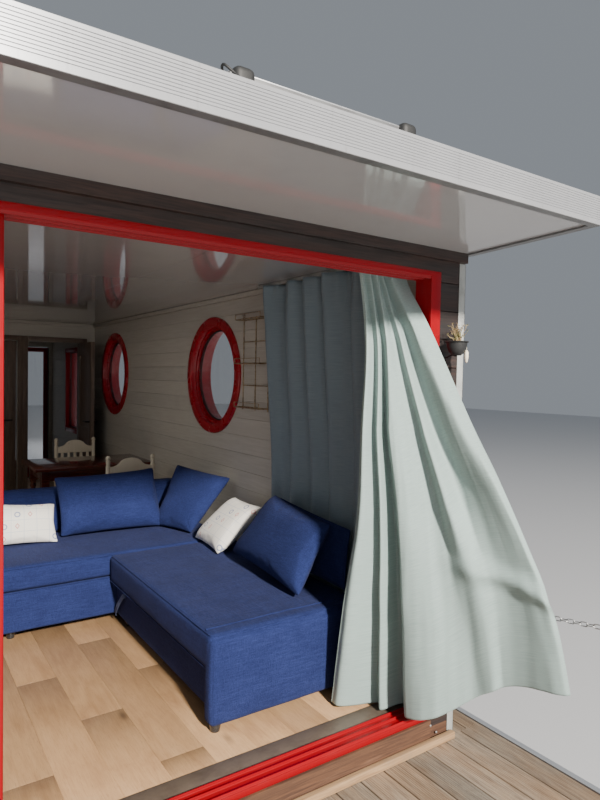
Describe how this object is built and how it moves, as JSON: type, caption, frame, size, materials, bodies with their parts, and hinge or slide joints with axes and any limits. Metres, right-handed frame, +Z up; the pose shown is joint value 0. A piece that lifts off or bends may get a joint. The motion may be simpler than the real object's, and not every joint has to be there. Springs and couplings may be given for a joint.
{
  "type": "houseboat",
  "caption": "Houseboat with a timber-clad cabin, round windows and a sliding glass front on a twin-float deck, with an outboard engine.",
  "frame": {"origin": "under the middle of the boat's length and beam, on the plane of the floats' flat bottoms", "axes": "+X towards the port side, where the curtain hangs; -Y towards the bow terrace and +Y towards the engine at the stern; +Z up"},
  "size_m": [4.38, 11.78, 3.3424],
  "materials": {
    "hull_paint": "semi-gloss grey-blue paint with a waterline stain",
    "deck_steel": "dull grey paint",
    "deck_wood": "weathered grey-brown grooved boards",
    "trim_aluminium": "satin white-silver profile with fine grooves",
    "raw_pine": "raw sawn pine",
    "oak_laminate": "satin oak laminate planks",
    "dark_cladding": "dark brown stained horizontal boards, cream boards inside",
    "cream_boards": "cream painted horizontal boards",
    "roof_white": "glossy white sandwich panel",
    "red_frame": "satin signal-red powder coat",
    "window_glass": "clear",
    "brown_door": "brown stained panel door",
    "blue_fabric": "navy blue slubbed linen weave",
    "white_fabric": "off-white cotton with small pale motifs",
    "mahogany": "polished dark red-brown",
    "cream_paint": "cream satin paint",
    "curtain_fabric": "pale grey-green dense cloth with a satin face",
    "rack_wire": "dull coated wire",
    "galvanised_steel": "galvanised",
    "solar_glass": "dark cells under glass in a silver frame",
    "black_plastic": "matt black",
    "engine_paint": "dark grey satin paint",
    "cast_alloy": "cast, lightly worn"
  },
  "bodies": {
    "boat": {"float_port": "hull_paint", "float_starboard": "hull_paint", "deck_frame": "deck_steel", "deck_front": "deck_wood", "deck_rear": "deck_wood", "deck_side_port": "deck_wood", "deck_side_starboard": "deck_wood", "deck_edge_trim": "trim_aluminium", "deck_batten": "raw_pine", "cabin_floor": "oak_laminate", "front_wall": "dark_cladding", "side_wall_port": "dark_cladding", "side_wall_starboard": "dark_cladding", "rear_wall": "dark_cladding", "partition_wall": "cream_boards", "roof_panel": "roof_white", "roof_fascia": "trim_aluminium", "door_frame": "red_frame", "door_leaf_fixed": "red_frame", "door_glass_fixed": "window_glass", "porthole_port_fore": "red_frame", "porthole_starboard_fore": "red_frame", "porthole_port_aft": "red_frame", "porthole_starboard_aft": "red_frame", "side_window_port": "red_frame", "side_window_starboard": "red_frame", "sofa_long": "blue_fabric", "sofa_chaise": "blue_fabric", "cushion_blue_back": "blue_fabric", "cushion_blue_corner": "blue_fabric", "cushion_blue_front": "blue_fabric", "cushion_blue_side": "blue_fabric", "cushion_white_left": "white_fabric", "cushion_white_right": "white_fabric", "table": "mahogany", "chair_near": "cream_paint", "chair_far": "cream_paint", "curtain_outer": "curtain_fabric", "curtain_inner": "curtain_fabric", "curtain_rail": "trim_aluminium", "wire_rack": "rack_wire", "guard_chain_port": "galvanised_steel", "guard_chain_starboard": "galvanised_steel", "guard_post_port_middle": "galvanised_steel", "guard_post_starboard_middle": "galvanised_steel", "guard_post_port_bow": "galvanised_steel", "guard_post_starboard_bow": "galvanised_steel", "solar_panel": "solar_glass", "solar_mounts": "black_plastic", "helm_console": "cream_boards", "outboard_bracket": "engine_paint"},
    "sliding_leaf": {"door_leaf_sliding": "red_frame", "door_glass_sliding": "window_glass"},
    "partition_leaf_port": {"partition_door_port": "brown_door"},
    "partition_leaf_middle": {"partition_door_middle": "brown_door"},
    "rear_leaf": {"rear_door": "red_frame"},
    "wheel": {"helm_wheel": "black_plastic"},
    "engine_swivel": {"outboard_swivel": "engine_paint"},
    "engine": {"outboard_engine": "engine_paint"},
    "screw": {"outboard_propeller": "cast_alloy"}
  },
  "joints": [
    {"name": "front_door_slide", "type": "slide", "parent": "boat", "child": "sliding_leaf", "axis": [1, 0, 0], "range_m": [0, 1.745], "deforming": ["curtain_outer"]},
    {"name": "partition_door_port_hinge", "type": "hinge", "parent": "boat", "child": "partition_leaf_port", "pos_m": [1.6775, 2.174, 0.983], "axis": [0, 0, 1], "range_deg": [-90, 0]},
    {"name": "partition_door_middle_hinge", "type": "hinge", "parent": "boat", "child": "partition_leaf_middle", "pos_m": [0.3325, 2.252, 0.983], "axis": [0, 0, 1], "range_deg": [0, 90]},
    {"name": "rear_door_hinge", "type": "hinge", "parent": "boat", "child": "rear_leaf", "pos_m": [1.7775, 4.519, 0.983], "axis": [0, 0, 1], "range_deg": [-95, 0]},
    {"name": "engine_tilt", "type": "hinge", "parent": "boat", "child": "engine_swivel", "pos_m": [0, 5.45, 0.81], "axis": [1, 0, 0], "range_deg": [0, 65]},
    {"name": "engine_steer", "type": "hinge", "parent": "engine_swivel", "child": "engine", "pos_m": [0, 5.56, 0.8], "axis": [0, 0, 1], "range_deg": [-35, 35]},
    {"name": "screw_spin", "type": "hinge", "parent": "engine", "child": "screw", "pos_m": [0, 5.72, 0.21], "axis": [0, 1, 0], "continuous": true},
    {"name": "wheel_turn", "type": "hinge", "parent": "boat", "child": "wheel", "pos_m": [-1.52, -2.77, 1.703], "axis": [0, 1, 0], "range_deg": [-700, 700]}
  ],
  "couplings": [
    {"joint": "wheel_turn", "follows": "engine_steer", "ratio": -20}
  ]
}
